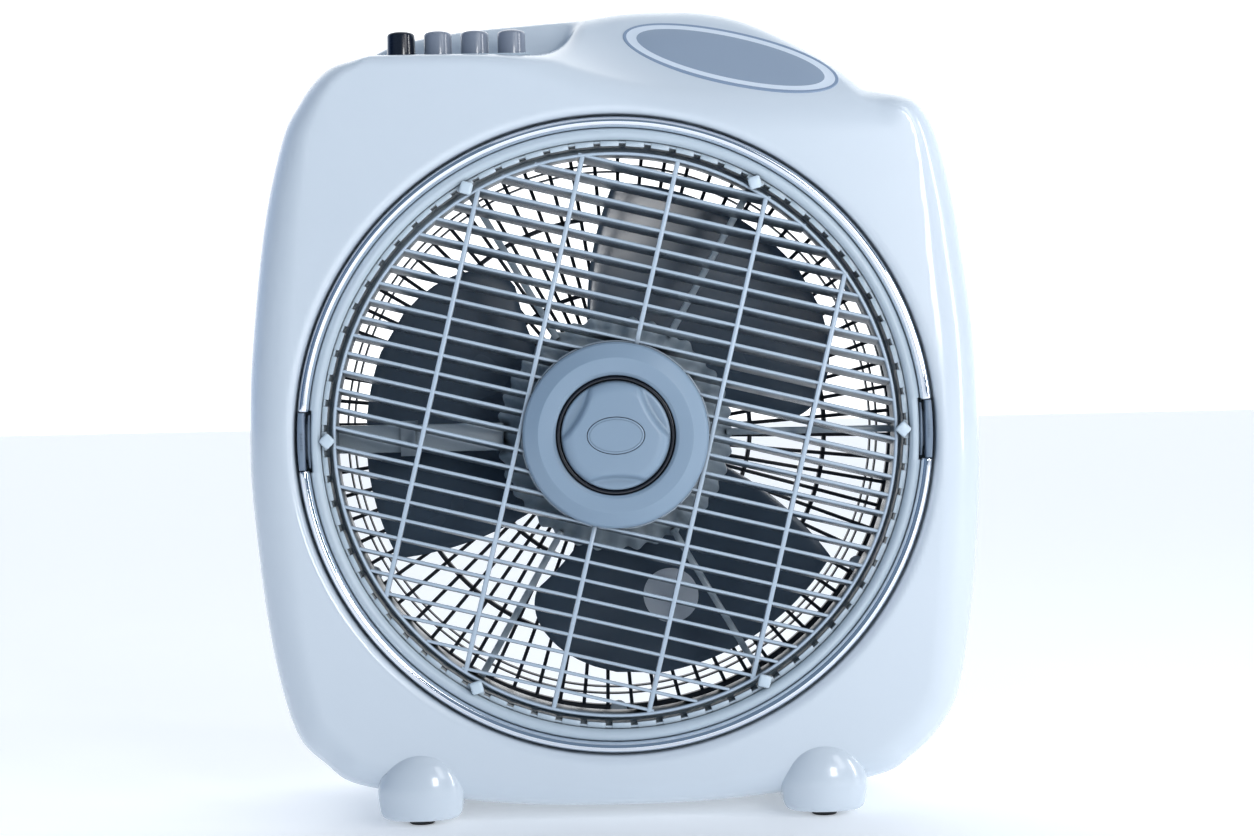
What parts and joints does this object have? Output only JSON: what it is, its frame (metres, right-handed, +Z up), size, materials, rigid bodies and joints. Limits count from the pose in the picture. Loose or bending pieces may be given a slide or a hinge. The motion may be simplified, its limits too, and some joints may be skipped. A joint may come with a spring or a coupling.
{
  "type": "box fan",
  "caption": "Table-top box fan: rounded two-part shell on two feet, turning louver disc with a lock knob, guarded blades, motor, push buttons and rear grille.",
  "frame": {"origin": "on the floor, midway between the body's sides and midway between the front and back ends of the feet", "axes": "+Z up, +Y towards the back so the louver disc faces -Y, +X to the right as seen from the front"},
  "size_m": [0.3931, 0.1762, 0.438],
  "materials": {
    "body_plastic": "gloss moulded, cool white",
    "label_print": "printed film with a white band",
    "bright_trim": "bright plated ring",
    "pale_plastic": "satin light grey",
    "clear_plastic": "half-clear moulded",
    "wire_sleeve": "dark wire insulation",
    "steel": "zinc plated",
    "motor_metal": "cast and pressed, dull",
    "dark_plastic": "satin near-black navy",
    "iron": "laminated steel, varnished",
    "copper": "varnished enamelled wire",
    "bronze": "sintered, oiled",
    "film_plastic": "cast resin box",
    "rubber": "matte black",
    "smoke_plastic": "smoky half-clear dark navy",
    "sticker_film": "pale round film, blank",
    "louver_plastic": "satin grey-blue",
    "black_plastic": "gloss black",
    "grey_plastic": "gloss grey",
    "latch_plastic": "satin dark grey"
  },
  "bodies": {
    "housing": {"front_shell": "body_plastic", "rear_shell": "body_plastic", "label_plate": "label_print", "chrome_ring": "bright_trim", "bezel_ring": "pale_plastic", "front_guard": "pale_plastic", "guard_screws": "steel", "wire_duct": "clear_plastic", "duct_clip": "pale_plastic", "duct_wire": "wire_sleeve", "louver_motor": "motor_metal", "louver_motor_screws": "steel", "rear_grille": "dark_plastic", "grille_screws": "steel", "motor_front_bell": "motor_metal", "motor_rear_bell": "motor_metal", "stator_core": "iron", "stator_windings": "copper", "motor_bolts": "steel", "motor_screws": "steel", "front_bearing": "bronze", "rear_bearing": "bronze", "capacitor": "film_plastic", "switch_block": "dark_plastic", "button_plate": "pale_plastic", "terminal_block": "pale_plastic", "cord_gland": "rubber", "housing_screws": "steel", "left_foot": "body_plastic", "right_foot": "body_plastic", "rubber_pads": "rubber", "foot_screws": "steel", "spring_off": "steel", "spring_low": "steel", "spring_medium": "steel", "spring_high": "steel"},
    "fan": {"fan_blade": "smoke_plastic", "motor_shaft": "steel", "rotor_core": "iron", "blade_nut": "dark_plastic", "drive_pin": "steel", "blade_sticker": "sticker_film"},
    "louver": {"louver_grille": "louver_plastic", "louver_cap": "louver_plastic", "knob_collar": "dark_plastic", "louver_shaft": "steel"},
    "knob": {"lock_knob": "louver_plastic", "knob_badge": "louver_plastic"},
    "button_off": {"button_off": "black_plastic"},
    "button_low": {"button_low": "grey_plastic"},
    "button_medium": {"button_medium": "grey_plastic"},
    "button_high": {"button_high": "grey_plastic"},
    "latch_left": {"latch_left": "latch_plastic"},
    "latch_right": {"latch_right": "latch_plastic"}
  },
  "joints": [
    {"name": "fan_spin", "type": "hinge", "parent": "housing", "child": "fan", "pos_m": [0, 0, 0.205], "axis": [0, 1, 0], "continuous": true},
    {"name": "louver_spin", "type": "hinge", "parent": "housing", "child": "louver", "pos_m": [0, -0.067, 0.205], "axis": [0, 1, 0], "continuous": true},
    {"name": "knob_turn", "type": "hinge", "parent": "louver", "child": "knob", "pos_m": [0, -0.08, 0.205], "axis": [0, 1, 0], "range_deg": [0, 90]},
    {"name": "off_press", "type": "slide", "parent": "housing", "child": "button_off", "axis": [0, 0, -1], "range_m": [0, 0.005], "stiffness_N_per_m": 400, "deforming": ["spring_off"]},
    {"name": "low_press", "type": "slide", "parent": "housing", "child": "button_low", "axis": [0, 0, -1], "range_m": [0, 0.005], "stiffness_N_per_m": 400, "deforming": ["spring_low"]},
    {"name": "medium_press", "type": "slide", "parent": "housing", "child": "button_medium", "axis": [0, 0, -1], "range_m": [0, 0.005], "stiffness_N_per_m": 400, "deforming": ["spring_medium"]},
    {"name": "high_press", "type": "slide", "parent": "housing", "child": "button_high", "axis": [0, 0, -1], "range_m": [0, 0.005], "stiffness_N_per_m": 400, "deforming": ["spring_high"]},
    {"name": "latch_left_release", "type": "slide", "parent": "housing", "child": "latch_left", "axis": [-1, 0, 0], "range_m": [0, 0.0015], "stiffness_N_per_m": 600},
    {"name": "latch_right_release", "type": "slide", "parent": "housing", "child": "latch_right", "axis": [1, 0, 0], "range_m": [0, 0.0015], "stiffness_N_per_m": 600}
  ]
}
